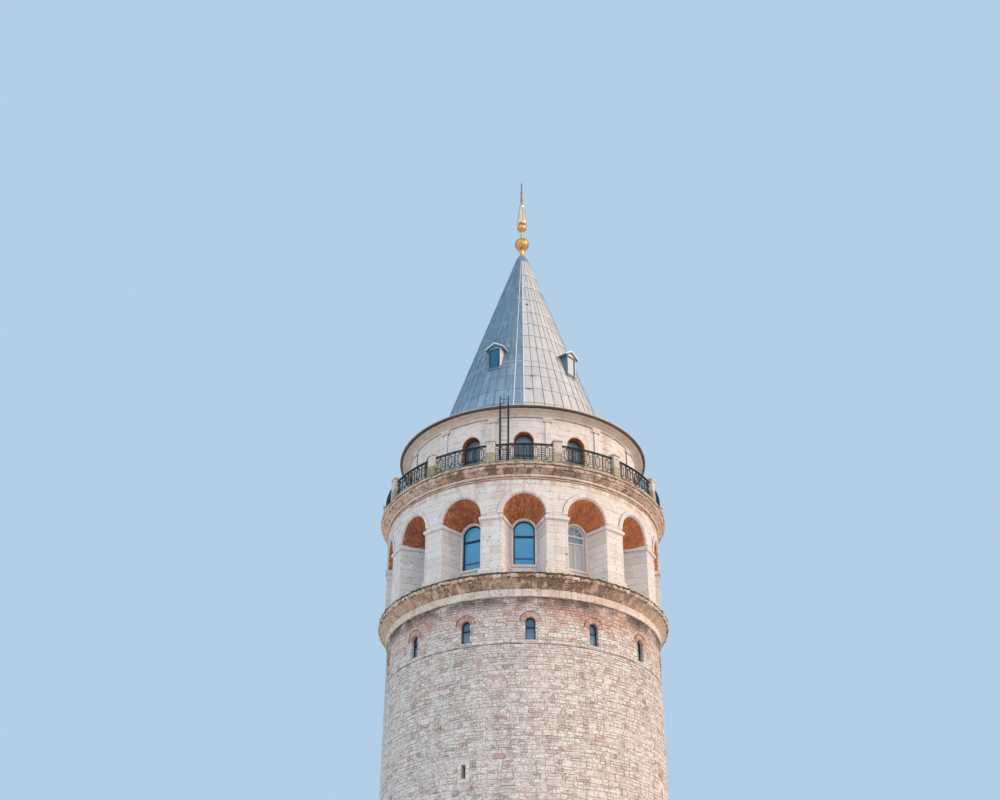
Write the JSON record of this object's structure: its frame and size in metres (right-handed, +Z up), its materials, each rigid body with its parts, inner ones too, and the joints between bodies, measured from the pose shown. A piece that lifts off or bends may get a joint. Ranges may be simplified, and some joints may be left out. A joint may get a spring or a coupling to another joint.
{
  "type": "round stone watchtower, 1:2 scale model",
  "caption": "Round stone watchtower with an arcaded storey, a railed viewing deck, a drum room and a lead-covered conical roof with a gilded finial.",
  "frame": {"origin": "centre of the round base at ground level", "axes": "+Z up along the tower's axis, -Y towards the entrance and the middle arch of the arcade"},
  "size_m": [8.83, 8.83, 33.45],
  "materials": {
    "rubble": "rough",
    "limestone": "matt",
    "cornice_stone": "weathered",
    "floor_stone": "matt",
    "lead": "satin",
    "eave_metal": "satin",
    "ironwork": "satin",
    "glass": "gloss",
    "gold": "polished",
    "oak": "oiled"
  },
  "bodies": {
    "root": {"access_ladder": "ironwork", "arcade_floor": "floor_stone", "arcade_glass": "glass", "arcade_wall_1": "limestone", "arcade_wall_2": "limestone", "arcade_wall_3": "limestone", "arcade_wall_4": "limestone", "arcade_wall_5": "limestone", "arcade_wall_6": "limestone", "arcade_wall_7": "limestone", "balustrade_posts_left": "limestone", "balustrade_posts_right": "limestone", "balustrade_railing_back": "ironwork", "balustrade_railing_front": "ironwork", "deck_cornice": "cornice_stone", "deck_slab": "floor_stone", "dormer_1": "lead", "dormer_2": "lead", "dormer_3": "lead", "dormer_4": "lead", "dormer_window_1": "glass", "dormer_window_2": "glass", "dormer_window_3": "glass", "dormer_window_4": "glass", "drum_cornice": "limestone", "drum_glass": "glass", "drum_wall_1": "limestone", "drum_wall_2": "limestone", "drum_wall_3": "limestone", "drum_wall_4": "limestone", "eave_edge": "eave_metal", "entrance_door": "oak", "entrance_surround": "limestone", "finial_large_ball": "gold", "finial_small_ball": "gold", "finial_spire": "gold", "ground_floor": "floor_stone", "lower_cornice": "cornice_stone", "roof_cap": "lead", "roof_cone_left": "lead", "roof_cone_right": "lead", "roof_slab": "floor_stone", "shaft_wall_left": "rubble", "shaft_wall_over_door": "rubble", "shaft_wall_right": "rubble", "window_storey_floor": "floor_stone", "window_storey_wall_1": "rubble", "window_storey_wall_2": "rubble", "window_storey_wall_3": "rubble", "window_storey_wall_4": "rubble"}
  },
  "joints": []
}
